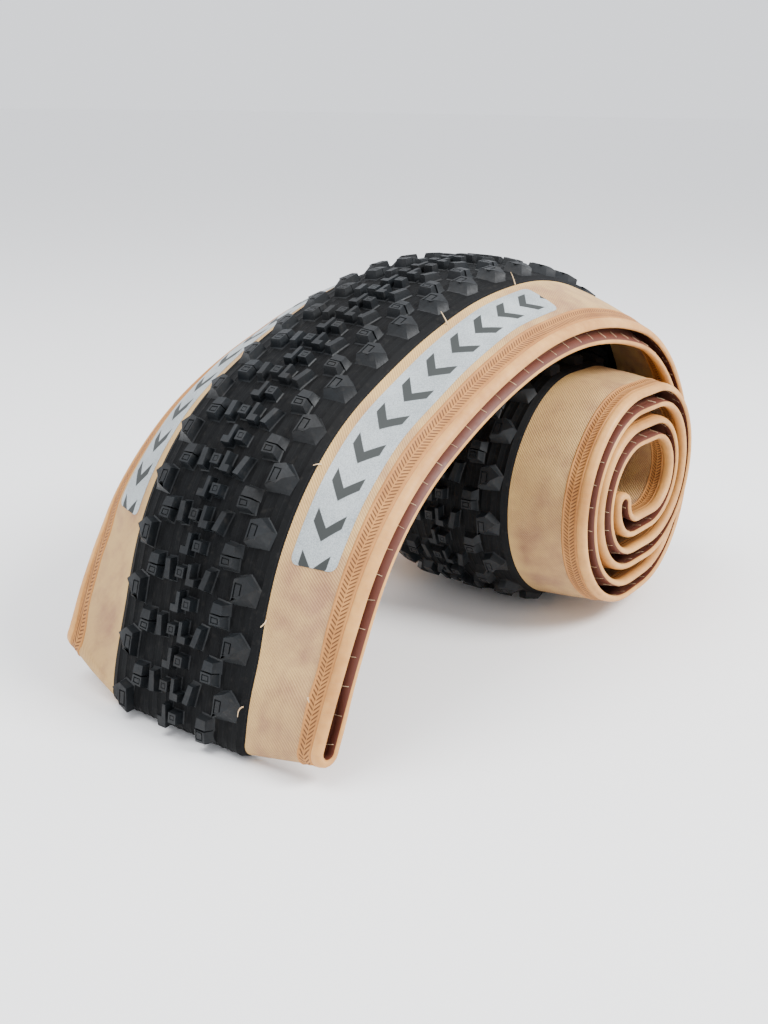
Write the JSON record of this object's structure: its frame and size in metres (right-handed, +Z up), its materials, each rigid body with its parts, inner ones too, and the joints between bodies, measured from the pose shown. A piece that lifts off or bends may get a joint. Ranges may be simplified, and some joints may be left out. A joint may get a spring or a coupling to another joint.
{
  "type": "bicycle tire",
  "caption": "Foldable mountain bike tyre with tan sidewalls, pressed into a doubled band and rolled up, its free end left as an arched flap.",
  "frame": {"origin": "centre of the bounding box at the level that the tyre stands on", "axes": "+X from the flap's free end towards the roll, +Y across the tyre from bead to bead, +Z up"},
  "size_m": [0.3028, 0.1618, 0.1689],
  "materials": {
    "tread_rubber": "matte",
    "tan_skin": "matte",
    "chafer_cloth": "matte",
    "lip_rubber": "matte",
    "coat_rubber": "matte",
    "ply_cord": "matte",
    "aramid": "matte",
    "label_film": "satin"
  },
  "bodies": {
    "root": {"bead_core_near": "aramid", "bead_core_far": "aramid", "bead_lip_near": "lip_rubber", "bead_lip_far": "lip_rubber", "chafer_near": "chafer_cloth", "chafer_far": "chafer_cloth", "inner_coat": "coat_rubber", "casing": "ply_cord", "sidewall_near": "tan_skin", "sidewall_far": "tan_skin", "tread_band": "tread_rubber", "label_near": "label_film", "label_far": "label_film", "shoulder_blocks_near_outer": "tread_rubber", "shoulder_blocks_near_inner": "tread_rubber", "shoulder_blocks_far_outer": "tread_rubber", "shoulder_blocks_far_inner": "tread_rubber", "intermediate_blocks_near_outer": "tread_rubber", "intermediate_blocks_near_inner": "tread_rubber", "intermediate_blocks_far_outer": "tread_rubber", "intermediate_blocks_far_inner": "tread_rubber", "slim_blocks_near_outer": "tread_rubber", "slim_blocks_near_inner": "tread_rubber", "slim_blocks_far_outer": "tread_rubber", "slim_blocks_far_inner": "tread_rubber", "centre_cubes_outer": "tread_rubber", "centre_cubes_inner": "tread_rubber", "centre_brackets_outer": "tread_rubber", "centre_brackets_inner": "tread_rubber", "standing_blocks": "tread_rubber"}
  },
  "joints": []
}
